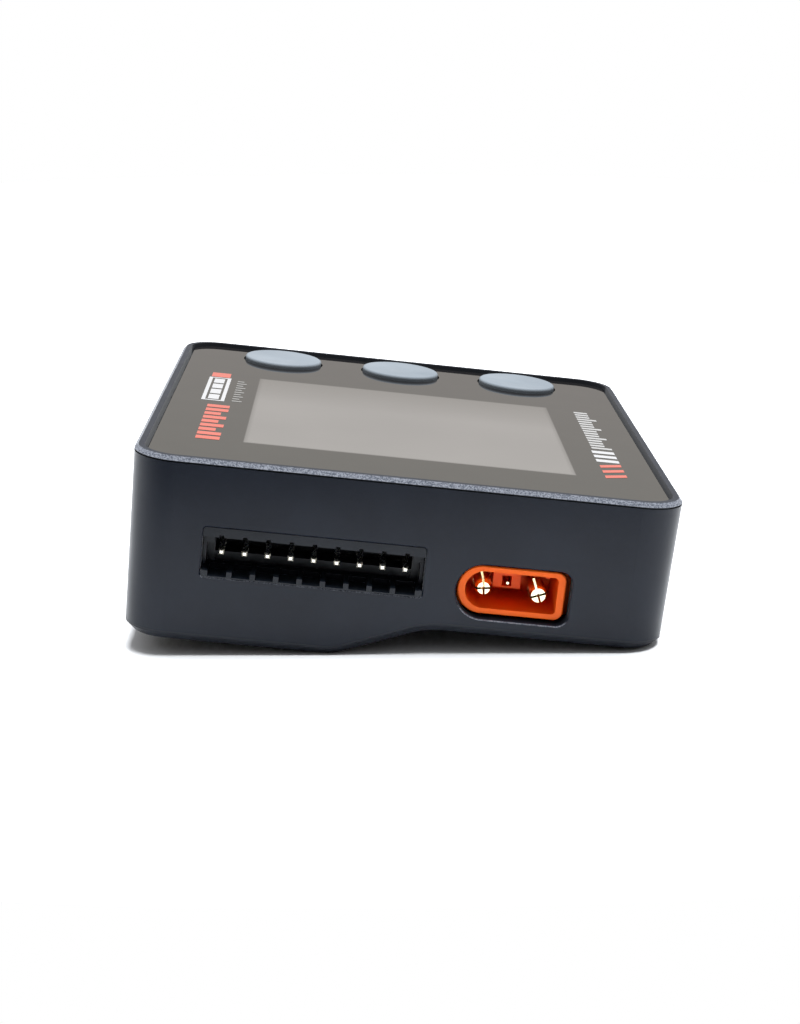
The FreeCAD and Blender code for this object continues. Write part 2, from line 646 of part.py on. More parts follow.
def make_balance_header():
    """The header's moulding: a box open to the front, its floor cut into a comb, with a shallow
    groove over each pin, a seat for the plug under the pins, and stepped side walls."""
    z0, z1 = HEADER_Z - HEADER_H / 2, HEADER_Z + HEADER_H / 2
    x0, x1 = HEADER_X - HEADER_W / 2, HEADER_X + HEADER_W / 2
    back = HEADER_FRONT_Y + HEADER_CAVITY
    body = front_block(HEADER_X, HEADER_Z, HEADER_W, HEADER_H, HEADER_HOLE_R - HEADER_GAP,
                       HEADER_FRONT_Y, HEADER_FRONT_Y + HEADER_L)
    foot = box(x0 + 0.6, x1 - 0.6, -BOARD_HALF_D + 0.1, HEADER_FRONT_Y + HEADER_L,
               MAIN_BOARD_TOP, z0 + 0.1)
    body = fuse([body, foot])
    tools = [box(x0 + HEADER_SIDE_WALL, x1 - HEADER_SIDE_WALL, FRONT_Y - 1, back,
                 HEADER_SEAT_Z, z1 - HEADER_TOP_WALL),
             box(x0 + HEADER_SIDE_WALL, x1 - HEADER_SIDE_WALL, FRONT_Y - 1,
                 HEADER_FRONT_Y + HEADER_SEAT, z0 + HEADER_FLOOR_T, HEADER_SEAT_Z + 0.1),
             box(x0 - 1, x1 + 1, FRONT_Y - 1, HEADER_FRONT_Y + HEADER_SIDE_SINK,
                 z0 + HEADER_TOOTH_H, z1 - HEADER_TOP_WALL)]
    for side in (-1, 1):
        inner = HEADER_X + side * (HEADER_W / 2 - HEADER_SIDE_WALL)
        outer = HEADER_X + side * (HEADER_W / 2 - 0.35)
        tools.append(box(min(inner, outer), max(inner, outer), FRONT_Y - 1, HEADER_FRONT_Y + 4.0,
                         z0 + HEADER_FLOOR_T, HEADER_STEP_Z))
    posts = [POST_X + i * POST_PITCH for i in range(PIN_COUNT - 1)]
    slot_starts = [x0 + 0.75] + [x + POST_W / 2 for x in posts]
    slot_stops = [x - POST_W / 2 for x in posts] + [x1 - 0.75]
    for start, stop in zip(slot_starts, slot_stops):
        tools.append(box(start, stop, FRONT_Y - 1, HEADER_FRONT_Y + 3.2,
                         z0 + 0.12, z0 + HEADER_FLOOR_T + 0.1))
    for x in balance_places():
        tools.append(box(x - 0.25, x + 0.25, FRONT_Y - 1, back,
                         z1 - HEADER_TOP_WALL - 0.1, z1 - HEADER_TOP_WALL + 0.25))
        tools.append(block(x, 0, PIN_Z - PIN_HOLE / 2, PIN_HOLE, FAR, PIN_HOLE))
        tools.append(block(x, HEADER_DROP_Y, 0, PIN_HOLE, PIN_HOLE, PIN_Z + PIN_HOLE / 2))
    tools.append(box(x0 + 1.0, x1 - 1.0, HEADER_DROP_Y - PIN_HOLE / 2, FAR, PIN_Z - 3.2,
                     PIN_Z + PIN_HOLE / 2))
    return cut(body, tools)


def make_balance_pins():
    """Square pins that run in from the front and turn down through the main board."""
    side = PIN_SIDE
    tip_y = FRONT_Y + PIN_SINK
    shapes = []
    for x in balance_places():
        run = box(x - side / 2, x + side / 2, tip_y, HEADER_DROP_Y + side / 2,
                  PIN_Z - side / 2, PIN_Z + side / 2)
        tip = [e for e in run.Edges if all(abs(v.Point.y - tip_y) < 1e-6 for v in e.Vertexes)]
        run = run.makeChamfer(0.14, tip)
        drop = block(x, HEADER_DROP_Y, MAIN_BOARD_Z - 1.2, side, side,
                     PIN_Z - MAIN_BOARD_Z + 1.2)
        shapes.append(fuse([run, drop]))
    return shapes


# battery socket
def contact_places():
    return [SOCKET_X - CONTACT_PITCH / 2, SOCKET_X + CONTACT_PITCH / 2]


def make_battery_socket():
    """The socket's moulding: a D-shaped shell, a mounting flange behind the port wall, a block
    for the third contact that hangs from the roof, guide ribs, and collars round the contacts."""
    shell = socket_outline(0, 0, SOCKET_FRONT_Y, SOCKET_BACK_Y)
    front = [e for e in shell.Edges
             if all(abs(v.Point.y - SOCKET_FRONT_Y) < 1e-6 for v in e.Vertexes)]
    shell = shell.makeChamfer(0.12, front)
    shell = shell.cut(socket_outline(-SOCKET_SIDE, -SOCKET_ROOF, SOCKET_FRONT_Y - 1,
                                     SOCKET_FLOOR_Y))
    flange = front_block(SOCKET_X, SOCKET_Z, SOCKET_W + 2.6, SOCKET_H + 0.9, 0.6,
                         FLANGE_Y, FLANGE_Y + FLANGE_T)
    flange = flange.cut(socket_outline(-0.3, -0.3, -FAR, FAR))
    roof = SOCKET_Z + SOCKET_H / 2 - SOCKET_ROOF
    data = box(DATA_X - DATA_BLOCK_W / 2, DATA_X + DATA_BLOCK_W / 2,
               SOCKET_FRONT_Y + DATA_BLOCK_SINK, SOCKET_FLOOR_Y + 0.1, roof - DATA_BLOCK_H,
               roof + 0.1)
    ribs = [box(x - 0.2, x + 0.2, SOCKET_FRONT_Y + rib_sink, SOCKET_FLOOR_Y + 0.1,
                roof - 0.8, roof + 0.1)
            for x, rib_sink in ((DATA_X - 2.0, 2.8), (DATA_X + 2.0, 2.8), (16.3, 2.2))]
    collars = [rod_y(x, SOCKET_Z, 1.5, SOCKET_FLOOR_Y - COLLAR_L, SOCKET_FLOOR_Y + 0.1)
               for x in contact_places()]
    body = fuse([shell, flange, data] + ribs + collars)
    tools = [rod_y(x, SOCKET_Z, ROOT_R + 0.02, -FAR, FAR) for x in contact_places()]
    tools.append(front_block(DATA_X, DATA_Z, *DATA_HOLE, 0.0, -FAR, SOCKET_FLOOR_Y - 1.0))
    tools.append(rod_y(DATA_PIN_X, DATA_PIN_Z, DATA_PIN_R + 0.02, -FAR, FAR))
    return cut(body, tools)


def make_contact(x, sink, tip_r, turn):
    """A split bullet contact with a thinner root in the housing and a solder tab at the back.
    sink is how far its tip lies behind the port wall's face, and turn is how its cross slot
    lies."""
    tip_y = FRONT_Y + sink
    root_y = SOCKET_FLOOR_Y - COLLAR_L - 0.1
    nose, slot_l, slot_w = 0.5, 3.4, 0.24
    rod = rod_y(x, SOCKET_Z, CONTACT_R, tip_y + nose, root_y)
    root = rod_y(x, SOCKET_Z, ROOT_R, root_y - 0.1, SOCKET_BACK_Y + 0.2)
    cone = Part.makeCone(tip_r, CONTACT_R, nose, Vector(x, tip_y, SOCKET_Z), Vector(0, 1, 0))
    tab = box(x - 0.9, x + 0.9, SOCKET_BACK_Y + 0.1, SOCKET_BACK_Y + TAB_L,
              MAIN_BOARD_TOP, SOCKET_Z + 0.5)
    body = fuse([rod, root, cone, tab])
    slots = []
    for angle in (turn, turn + 90):
        slot = box(x - 2, x + 2, tip_y - 1, tip_y + slot_l,
                   SOCKET_Z - slot_w / 2, SOCKET_Z + slot_w / 2)
        slot.rotate(Vector(x, 0, SOCKET_Z), Vector(0, 1, 0), angle)
        slots.append(slot)
    return cut(body, slots)


def make_data_contact():
    """The thin third contact, and its tail down to the main board."""
    tip_y = SOCKET_FRONT_Y + DATA_BLOCK_SINK + DATA_PIN_SINK
    run = rod_y(DATA_PIN_X, DATA_PIN_Z, DATA_PIN_R, tip_y, SOCKET_BACK_Y + 1.0)
    tail = block(DATA_PIN_X, SOCKET_BACK_Y + 0.9, MAIN_BOARD_TOP, 0.4, 0.4,
                 DATA_PIN_Z - MAIN_BOARD_TOP)
    return fuse([run, tail])


# parts under and on the main board
def make_balance_resistors():
    """Bleed resistors in two rows under the board, over the hump."""
    return [block(-14.0 + col * 8.0, -12.0 + row * 6.5, MAIN_BOARD_Z - 0.7, 6.3, 3.2, 0.7)
            for col in (-1, 0) for row in range(4)]


def make_balance_transistors():
    """One small switch per cell, on top of the board behind the balance header."""
    shapes = []
    for i in range(PIN_COUNT - 1):
        x = PIN_X + (i + 0.5) * PIN_PITCH
        body = block(x, -19.5, MAIN_BOARD_TOP, 1.5, 2.9, 1.1)
        legs = [block(x, -19.5 + s * 1.7, MAIN_BOARD_TOP, 0.5, 0.9, 0.3) for s in (-1, 1)]
        shapes.append(fuse([body] + legs))
    return shapes


def make_thermal_pad():
    return box(HUMP_X0 + 0.5, HUMP_X1 - 0.5, -14.5, 10.5, THERMAL_Z, MAIN_BOARD_Z - 0.7)


def make_heat_spreader():
    """The metal plate on the hump's floor, ribbed underneath."""
    body = box(HUMP_X0, HUMP_X1, -22.0, 22.0, COVER_T + 0.05, THERMAL_Z)
    grooves = [box(HUMP_X0 - 1, HUMP_X1 + 1, y, y + 1.6, 0, COVER_T + 0.75)
               for y in range(-20, 20, 4)]
    return cut(body, grooves)


def make_inductor():
    """A shielded power inductor: a square body with bevelled top edges and two end pads."""
    x, y, size, h = 19.5, -8.0, 8.0, 4.2
    body = plan_block(x, y, size, size, 0.9, MAIN_BOARD_TOP + 0.15, MAIN_BOARD_TOP + h)
    top = [e for e in body.Edges
           if all(abs(v.Point.z - MAIN_BOARD_TOP - h) < 1e-6 for v in e.Vertexes)]
    body = body.makeChamfer(0.4, top)
    pads = [block(x + s * 3.2, y, MAIN_BOARD_TOP, 1.4, 5.0, 0.2) for s in (-1, 1)]
    return fuse([body] + pads)


def make_capacitors():
    """Two electrolytic cans, each with a rolled groove near its foot."""
    shapes = []
    for x, y in ((21.5, 6.0), (21.5, 14.0)):
        z = MAIN_BOARD_TOP
        profile = [(0, z), (3.1, z), (3.1, z + 0.9), (2.85, z + 1.1), (2.85, z + 1.4),
                   (3.1, z + 1.6), (3.1, z + 4.7), (2.9, z + 5.0), (0, z + 5.0)]
        shapes.append(turned(profile, x, y))
    return shapes


def make_power_transistors():
    shapes = []
    for x, y in ((10.0, -9.5), (10.0, -3.0), (3.0, -9.5), (3.0, -3.0)):
        body = block(x, y, MAIN_BOARD_TOP + 0.05, 4.9, 5.2, 1.0)
        pad = block(x, y, MAIN_BOARD_TOP, 4.2, 6.1, 0.25)
        shapes.append(fuse([body, pad]))
    return shapes


def make_charge_controller():
    x, y, size, z = -6.0, 6.0, 6.0, MAIN_BOARD_TOP
    chip = [block(x, y, z, size, size, 0.95)]
    for i in range(10):
        along = (i - 4.5) * 0.5
        for side in (-1, 1):
            chip.append(block(x + side * (size / 2 + 0.1), y + along, z, 0.3, 0.25, 0.2))
            chip.append(block(x + along, y + side * (size / 2 + 0.1), z, 0.25, 0.3, 0.2))
    return [fuse(chip)]


def make_shunt():
    """The current shunt: a low metal bridge."""
    points = [(-15.2, MAIN_BOARD_TOP + 0.2), (-13.6, MAIN_BOARD_TOP + 0.2),
              (-13.6, MAIN_BOARD_TOP + 1.2), (-9.4, MAIN_BOARD_TOP + 1.2),
              (-9.4, MAIN_BOARD_TOP + 0.2), (-7.8, MAIN_BOARD_TOP + 0.2)]
    return bent_strip(points, [0, 0.4, 0.4, 0.4, 0.4, 0], 0.4, -5.0, -2.0)


def make_main_small_parts():
    places = [(0.5 + i * 2.2, 4.0) for i in range(5)] + [(0.5 + i * 2.2, 8.0) for i in range(5)]
    places += [(-12.0, -2.0 + i * 3.0) for i in range(5)] + [(-17.0, 16.0), (-14.0, 16.0)]
    return [block(x, y, MAIN_BOARD_TOP, 1.0, 1.8, 0.8) for x, y in places]


def make_buzzer():
    """A round sounder with a small port in its top."""
    x, y, z, h = -14.0, 24.0, MAIN_BOARD_TOP, 4.2
    profile = [(0, z), (4.3, z), (4.5, z + 0.3), (4.5, z + h - 0.4), (4.1, z + h), (0, z + h)]
    return turned(profile, x, y).cut(disc(x, y, 1.0, z + h - 1.5, FAR))


# USB power input on the rear wall
def make_usb_shell():
    r = USB_H / 2 - 0.01
    outer = front_block(0, USB_Z, USB_W, USB_H, r, USB_BACK_Y, USB_FRONT_Y)
    inner = front_block(0, USB_Z, USB_W - 2 * USB_SKIN, USB_H - 2 * USB_SKIN, r - USB_SKIN,
                        USB_BACK_Y + 0.3, USB_FRONT_Y + 1)
    return outer.cut(inner)


def make_usb_insert():
    """The moulding inside the shell, with its tongue."""
    r = USB_H / 2 - USB_SKIN - 0.03
    plug = front_block(0, USB_Z, USB_W - 2 * USB_SKIN - 0.04, USB_H - 2 * USB_SKIN - 0.04, r,
                       USB_BACK_Y + 0.32, USB_BACK_Y + 2.2)
    tongue = box(-3.35, 3.35, USB_BACK_Y + 2.1, USB_FRONT_Y - 0.8, USB_Z - 0.3, USB_Z + 0.3)
    return fuse([plug, tongue])


def make_usb_contacts():
    strips = []
    for i in range(12):
        x = (i - 5.5) * 0.5
        for z in (USB_Z + 0.3, USB_Z - 0.35):
            strips.append(box(x - 0.13, x + 0.13, USB_BACK_Y + 2.3, USB_FRONT_Y - 1.1, z,
                              z + 0.05))
    return strips


# --- writing the parts --------------------------------------------------------------------------
def save(name, shapes):
    """Writes one sub-part. Several solids go into one compound."""
    shapes = shapes if isinstance(shapes, list) else [shapes]
    solids = [solid for shape in shapes for solid in shape.Solids]
    for solid in solids:
        if not solid.isValid() or solid.Volume <= 0:
            raise ValueError(name + " has a bad solid")
    whole = solids[0] if len(solids) == 1 else Part.makeCompound(solids)
    whole.exportStep("parts/" + name + ".step")
    print(f"{name}: {len(solids)} solid(s), {sum(s.Volume for s in solids):.1f} mm3")


def main():
    os.makedirs("parts", exist_ok=True)
    outside = case_outside()
    save("top_case", make_top_case(outside))
    save("bottom_cover", make_bottom_cover(outside))
    save("rating_label", make_rating_label())
    save("window_panel", make_window())
    save("window_tape", make_window_tape())
    save("case_screws", make_case_screws())
    for name, x in zip(BUTTON_NAMES, BUTTON_X):
        save("button_" + name, make_button(x))
        save("switch_plunger_" + name, make_switch_plunger(x))
        save("switch_dome_" + name, make_switch_dome(x))
    save("switch_bases", [make_switch_base(x) for x in BUTTON_X])
    save("switch_covers", [make_switch_cover(x) for x in BUTTON_X])
    save("lcd_glass", make_lcd_glass())
    save("lcd_frame", make_lcd_frame())
    save("lcd_gasket", make_lcd_gasket())
    save("lcd_foam_pads", make_lcd_pads())
    save("lcd_ribbon", make_lcd_ribbon())
    save("display_board", make_ui_board())
    save("display_board_screws", make_ui_screws())
    save("display_processor", make_processor())
    save("display_small_parts", make_ui_small_parts())
    save("link_socket", make_link_socket())
    save("link_header", make_link_header())
    save("link_pins", make_link_pins())
    save("main_board", make_main_board())
    save("balance_header", make_balance_header())
    save("balance_pins", make_balance_pins())
    save("battery_socket", make_battery_socket())
    left, right = contact_places()
    save("battery_contact_left", make_contact(left, CONTACT_SINKS[0], 0.68, -7))
    save("battery_contact_right", make_contact(right, CONTACT_SINKS[1], 0.78, -21))
    save("data_contact", make_data_contact())
    save("balance_resistors", make_balance_resistors())
    save("balance_transistors", make_balance_transistors())
    save("thermal_pad", make_thermal_pad())
    save("heat_spreader", make_heat_spreader())
    save("power_inductor", make_inductor())
    save("filter_capacitors", make_capacitors())
    save("power_transistors", make_power_transistors())
    save("charge_controller", make_charge_controller())
    save("current_shunt", make_shunt())
    save("main_small_parts", make_main_small_parts())
    save("buzzer", make_buzzer())
    save("usb_shell", make_usb_shell())
    save("usb_insert", make_usb_insert())
    save("usb_contacts", make_usb_contacts())


main()
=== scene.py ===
import math

import bmesh
import bpy
from mathutils import Matrix, Vector


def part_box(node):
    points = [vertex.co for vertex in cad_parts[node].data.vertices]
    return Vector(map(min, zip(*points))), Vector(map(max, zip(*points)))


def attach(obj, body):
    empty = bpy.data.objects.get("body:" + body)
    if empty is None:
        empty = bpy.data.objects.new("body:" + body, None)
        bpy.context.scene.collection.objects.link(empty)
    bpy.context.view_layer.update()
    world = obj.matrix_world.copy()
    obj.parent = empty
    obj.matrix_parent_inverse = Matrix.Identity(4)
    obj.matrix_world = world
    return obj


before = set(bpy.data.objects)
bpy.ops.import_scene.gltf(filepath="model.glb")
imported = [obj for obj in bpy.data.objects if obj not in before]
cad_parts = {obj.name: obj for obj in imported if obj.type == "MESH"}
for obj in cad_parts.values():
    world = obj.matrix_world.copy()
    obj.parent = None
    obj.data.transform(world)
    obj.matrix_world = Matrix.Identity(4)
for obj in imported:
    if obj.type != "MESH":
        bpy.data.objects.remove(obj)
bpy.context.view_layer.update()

# Looks for the handheld balance battery charger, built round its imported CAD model.
# Lengths are in millimetres and MM turns them into metres. The camera's place and the softbox are
# given in metres. +Z is up and the port wall is at -Y.

MM = 0.001

# --- camera -------------------------------------------------------------------------------------
CAMERA_PLACE = (-0.010285, -0.234085, 0.069588)     # metres
CAMERA_LENS = 67.88
CAMERA_SENSOR = 36.0
CAMERA_DOWN = math.radians(14.782)      # looks down
CAMERA_ROLL = math.radians(6.312)
CAMERA_TURN = math.radians(-2.709)      # round the vertical


def make_camera():
    data = bpy.data.cameras.new("camera")
    data.lens = CAMERA_LENS
    data.sensor_width = CAMERA_SENSOR
    data.clip_start = 0.005
    data.clip_end = 20.0
    camera = bpy.data.objects.new("camera", data)
    bpy.context.scene.collection.objects.link(camera)
    up_axis = Vector((0, 0, 1))
    right = Vector((math.cos(CAMERA_TURN), math.sin(CAMERA_TURN), 0))
    level = Vector((-math.sin(CAMERA_TURN), math.cos(CAMERA_TURN), 0))
    ahead = level * math.cos(CAMERA_DOWN) - up_axis * math.sin(CAMERA_DOWN)
    up = level * math.sin(CAMERA_DOWN) + up_axis * math.cos(CAMERA_DOWN)
    right_rolled = right * math.cos(CAMERA_ROLL) + up * math.sin(CAMERA_ROLL)
    up_rolled = up * math.cos(CAMERA_ROLL) - right * math.sin(CAMERA_ROLL)
    turn = Matrix((right_rolled, up_rolled, -ahead)).transposed().to_4x4()
    camera.matrix_world = Matrix.Translation(CAMERA_PLACE) @ turn
    bpy.context.scene.camera = camera


make_camera()
bpy.context.scene.view_settings.view_transform = "Standard"


# --- node helper --------------------------------------------------------------------------------
class Graph:
    """A node tree built with short calls. An input given as a socket is linked, and one given as a
    value is set. Texture positions are in millimetres."""

    def __init__(self, name):
        self.material = bpy.data.materials.new(name)
        self.material.use_nodes = True
        self.tree = self.material.node_tree
        self.tree.nodes.clear()
        spot = self.add("ShaderNodeTexCoord").outputs["Object"]
        scaled = self.add("ShaderNodeVectorMath", {0: spot, "Scale": 1 / MM}, operation="SCALE")
        self.place = scaled.outputs[0]

    def add(self, kind, inputs=None, **settings):
        node = self.tree.nodes.new(kind)
        for key, value in settings.items():
            setattr(node, key, value)
        for key, value in (inputs or {}).items():
            if isinstance(value, bpy.types.NodeSocket):
                self.tree.links.new(value, node.inputs[key])
            else:
                node.inputs[key].default_value = value
        return node

    def math(self, operation, a, b=0.0):
        return self.add("ShaderNodeMath", {0: a, 1: b}, operation=operation).outputs[0]

    def split(self, vector):
        """The X, Y and Z outputs of a vector."""
        return self.add("ShaderNodeSeparateXYZ", {0: vector}).outputs

    def noise(self, size, detail=2.0, stretch=None, distortion=0.0):
        """Noise from 0 to 1 with features about size millimetres across."""
        place = self.place
        if stretch:
            place = self.add("ShaderNodeVectorMath", {0: place, 1: stretch},
                             operation="MULTIPLY").outputs[0]
        node = self.add("ShaderNodeTexNoise", {"Vector": place, "Scale": 1 / size,
                                               "Detail": detail, "Distortion": distortion})
        return node.outputs["Fac"]

    def remap(self, value, low, high, to_low=0.0, to_high=1.0):
        node = self.add("ShaderNodeMapRange", {"Value": value, "From Min": low, "From Max": high,
                                               "To Min": to_low, "To Max": to_high})
        return node.outputs["Result"]

    def mix(self, factor, a, b):
        """A colour between a and b. The factor is a socket, and a colour is a socket or a value."""
        node = self.add("ShaderNodeMix", {0: factor}, data_type="RGBA")
        for key, value in ((6, a), (7, b)):
            if isinstance(value, bpy.types.NodeSocket):
                self.tree.links.new(value, node.inputs[key])
            else:
                node.inputs[key].default_value = (*value, 1.0)
        return node.outputs[2]

    def specks(self, spacing, radius, share):
        """1 inside small scattered dots and 0 elsewhere. share is how many cells have a dot."""
        cells = self.add("ShaderNodeTexVoronoi", {"Vector": self.place, "Scale": 1 / spacing})
        near = self.math("LESS_THAN", cells.outputs["Distance"], radius / spacing)
        pick = self.add("ShaderNodeSeparateColor", {0: cells.outputs["Color"]}).outputs[0]
        chosen = self.math("LESS_THAN", pick, share)
        return self.math("MULTIPLY", near, chosen)

    def dusted(self, colour, share):
        """A colour with small pale specks of dust on it."""
        spots = self.math("MULTIPLY", self.specks(DUST_SPACING, DUST_R, share), DUST_COVER)
        return self.mix(spots, colour, DUST)

    def bump(self, height, depth):
        """A normal from a height of 0 to 1, depth millimetres deep."""
        inputs = {"Height": height, "Distance": depth * MM, "Strength": 1.0}
        return self.add("ShaderNodeBump", inputs).outputs[0]

    def finish(self, **inputs):
        """Ends the tree in a principled shader, with input names written with _ for a space."""
        named = {key.replace("_", " "): value for key, value in inputs.items()}
        shader = self.add("ShaderNodeBsdfPrincipled", named).outputs[0]
        self.add("ShaderNodeOutputMaterial", {"Surface": shader})
        return self.material


# --- materials ----------------------------------------------------------------------------------
DUST = (0.30, 0.31, 0.33)
DUST_SPACING = 1.5
DUST_R = 0.05
DUST_COVER = 0.35                       # how much a speck hides what is under it
GRAIN = 0.16                            # spark-eroded grain of the mould
GRAIN_DEPTH = 0.006
RIM_PAINT_BAND = 0.6                          # height of the rim's band with painted highlight on its bevel and painted paler walls, down from the top
METAL_GRAIN_DEPTH = 0.004
SCREEN_X = 0.2                          # middle and size of the visible display
SCREEN_Y = -4.75
SCREEN_W = 37.6
SCREEN_D = 37.0
SCREEN_FAR_SHADE = (0.0, 14.0)               # along y, where painted shade darkens the display towards its far side
SCREEN_SHADE_W = 0.55                   # shaded border of the display
SCREEN_BLUR = 0.06                      # softness of the display's outline
LABEL_MARGIN = 1.8                      # bare border of the label


def moulded(name, dark, light, roughness, grain=GRAIN, depth=GRAIN_DEPTH, dust=0.0, specular=0.5,
            spread=0.05):
    """Moulded plastic: slow colour drift, a fine spark-eroded grain, and dust if asked for."""
    g = Graph(name)
    grain_height = g.noise(grain, 3.0)
    colour = g.mix(g.remap(g.noise(9.0, 3.0), 0.3, 0.7), dark, light)
    colour = g.mix(g.remap(grain_height, 0.45, 0.8, 0.0, 0.25), colour, light)
    rough = g.remap(g.noise(3.5, 4.0), 0.3, 0.7, roughness - spread, roughness + spread)
    if dust:
        colour = g.dusted(colour, dust)
    return g.finish(Base_Color=colour, Roughness=rough, Specular_IOR_Level=specular,
                    Normal=g.bump(grain_height, depth))


def case_material():
    """Dark blue-grey plastic with dust specks. A speckled painted highlight lies on the bevels that
    face up, and the upright walls near the top of the rim are painted a little paler, as painted
    light."""
    g = Graph("case_plastic")
    colour = g.mix(g.remap(g.noise(9.0, 3.0), 0.3, 0.7), (0.0055, 0.008, 0.0145),
                   (0.0085, 0.012, 0.0205))
    colour = g.dusted(colour, 0.10)
    facing = g.split(g.add("ShaderNodeNewGeometry").outputs["True Normal"])
    up = facing["Z"]
    rim_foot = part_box("top_case")[1].z / MM - RIM_PAINT_BAND
    near_rim = g.math("GREATER_THAN", g.split(g.place)["Z"], rim_foot)
    port = g.math("GREATER_THAN", g.math("ABSOLUTE", facing["Y"]), 0.4)
    # painted highlight: bevels facing up near the rim's top and round the port openings get a pale
    # speckled colour in place of the softbox's reflection
    sloped = g.math("MULTIPLY", g.remap(up, 0.35, 0.5), g.remap(up, 0.97, 0.9))
    highlight_mask = g.math("MULTIPLY", sloped, g.math("MAXIMUM", near_rim, port))
    painted_highlight = g.mix(g.remap(g.noise(0.16, 1.0), 0.35, 0.65), (0.055, 0.062, 0.078),
                   (0.21, 0.22, 0.25))
    # painted light: upright walls near the rim's top are painted paler than the rest of the case
    upright = g.math("LESS_THAN", g.math("ABSOLUTE", up), 0.3)
    colour = g.mix(g.math("MULTIPLY", near_rim, upright), colour, (0.035, 0.038, 0.045))
    colour = g.mix(highlight_mask, colour, painted_highlight)
    rough = g.remap(g.noise(3.5, 4.0), 0.3, 0.7, 0.36, 0.44)
    return g.finish(Base_Color=colour, Roughness=rough, Specular_IOR_Level=0.04,
                    Sheen_Weight=0.12, Sheen_Roughness=0.3, Coat_Weight=0.3,
                    Coat_Roughness=0.25, Normal=g.bump(g.noise(GRAIN, 3.0), GRAIN_DEPTH))


def metal(name, dark, light, roughness, grain=0.3, stretch=(1, 1, 1)):
    """Plated or rolled metal, with fine lines along the direction that stretch leaves long."""
    g = Graph(name)
    lines = g.noise(grain, 3.0, stretch)
    colour = g.mix(g.remap(g.noise(2.0), 0.3, 0.7), dark, light)
    rough = g.remap(lines, 0.3, 0.7, roughness * 0.75, roughness * 1.3)
    return g.finish(Base_Color=colour, Roughness=rough, Metallic=1.0,
                    Normal=g.bump(lines, METAL_GRAIN_DEPTH))


def window_material():
    """Gloss black panel with a satin grey display bonded under its clear part. Painted shade
    darkens the display towards its far side and along its border.
    """
    g = Graph("window")
    spot = g.split(g.place)
    off_x = g.math("ABSOLUTE", g.math("SUBTRACT", spot["X"], SCREEN_X))
    off_y = g.math("ABSOLUTE", g.math("SUBTRACT", spot["Y"], SCREEN_Y))
    outside = g.math("MAXIMUM", g.math("SUBTRACT", off_x, SCREEN_W / 2),
                     g.math("SUBTRACT", off_y, SCREEN_D / 2))
    black = g.mix(g.noise(4.0), (0.006, 0.006, 0.007), (0.012, 0.011, 0.011))
    grey = g.mix(g.remap(g.noise(16.0), 0.3, 0.7), (0.118, 0.110, 0.105), (0.130, 0.121, 0.115))
    # painted shade: the display darkens towards its far side
    grey = g.mix(g.remap(spot["Y"], *SCREEN_FAR_SHADE), grey, (0.080, 0.074, 0.069))
    grey = g.mix(g.remap(g.noise(0.12), 0.45, 0.7, 0.0, 0.12), grey, (0.14, 0.135, 0.13))
    grey = g.mix(g.remap(outside, -SCREEN_SHADE_W, 0.0, 0.0, 0.35), grey, black)
    colour = g.mix(g.remap(outside, -SCREEN_BLUR, SCREEN_BLUR), grey, black)
    rough = g.remap(g.noise(7.0, 4.0, distortion=0.6), 0.3, 0.75, 0.03, 0.07)
    return g.finish(Base_Color=colour, Roughness=rough, IOR=1.5,
                    Specular_Tint=(1.0, 0.965, 0.93, 1.0))


def screen_material():
    """The display's own glass, grey like its polariser."""
    g = Graph("lcd_glass")
    grey = g.mix(g.remap(g.noise(16.0), 0.3, 0.7), (0.20, 0.19, 0.175), (0.24, 0.23, 0.215))
    return g.finish(Base_Color=grey, Roughness=0.3, Normal=g.bump(g.noise(0.12), 0.003))


def board_material():
    """Solder-masked board with faint tracks and small plated holes."""
    g = Graph("board")
    tracks = g.add("ShaderNodeTexBrick", {"Vector": g.place, "Scale": 0.22, "Mortar Size": 0.012,
                                          "Color1": (0, 0, 0, 1), "Color2": (0, 0, 0, 1),
                                          "Mortar": (1, 1, 1, 1)}).outputs["Fac"]
    base = g.mix(g.noise(6.0, 3.0), (0.012, 0.09, 0.04), (0.02, 0.13, 0.055))
    base = g.mix(g.math("MULTIPLY", tracks, 0.6), base, (0.05, 0.26, 0.11))
    holes = g.specks(2.4, 0.3, 0.35)
    base = g.mix(holes, base, (0.62, 0.55, 0.35))
    return g.finish(Base_Color=base, Roughness=g.remap(holes, 0, 1, 0.32, 0.22),
                    Normal=g.bump(tracks, 0.02))


def label_material():
    """Silvery label with rows of short grey bars where a real one has its lines of print."""
    g = Graph("label")
    bricks = g.add("ShaderNodeTexBrick", {"Vector": g.place, "Scale": 0.2, "Mortar Size": 0.05,
                                          "Mortar Smooth": 0.0, "Color1": (0, 0, 0, 1),
                                          "Color2": (1, 1, 1, 1), "Mortar": (1, 1, 1, 1)})
    tint = g.add("ShaderNodeSeparateColor", {0: bricks.outputs["Color"]}).outputs[0]
    printed = g.math("LESS_THAN", tint, 0.6)
    low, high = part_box("rating_label")
    place = g.split(g.place)
    for axis, letter in enumerate("XY"):
        middle = (low[axis] + high[axis]) / 2 / MM
        reach = (high[axis] - low[axis]) / 2 / MM - LABEL_MARGIN
        off = g.math("ABSOLUTE", g.math("SUBTRACT", place[letter], middle))
        printed = g.math("MULTIPLY", printed, g.math("LESS_THAN", off, reach))
    base = g.mix(g.noise(5.0), (0.52, 0.52, 0.53), (0.62, 0.62, 0.63))
    base = g.mix(g.math("MULTIPLY", printed, 0.75), base, (0.10, 0.10, 0.11))
    return g.finish(Base_Color=base, Roughness=0.38, Metallic=0.3,
                    Normal=g.bump(g.noise(0.2), 0.003))


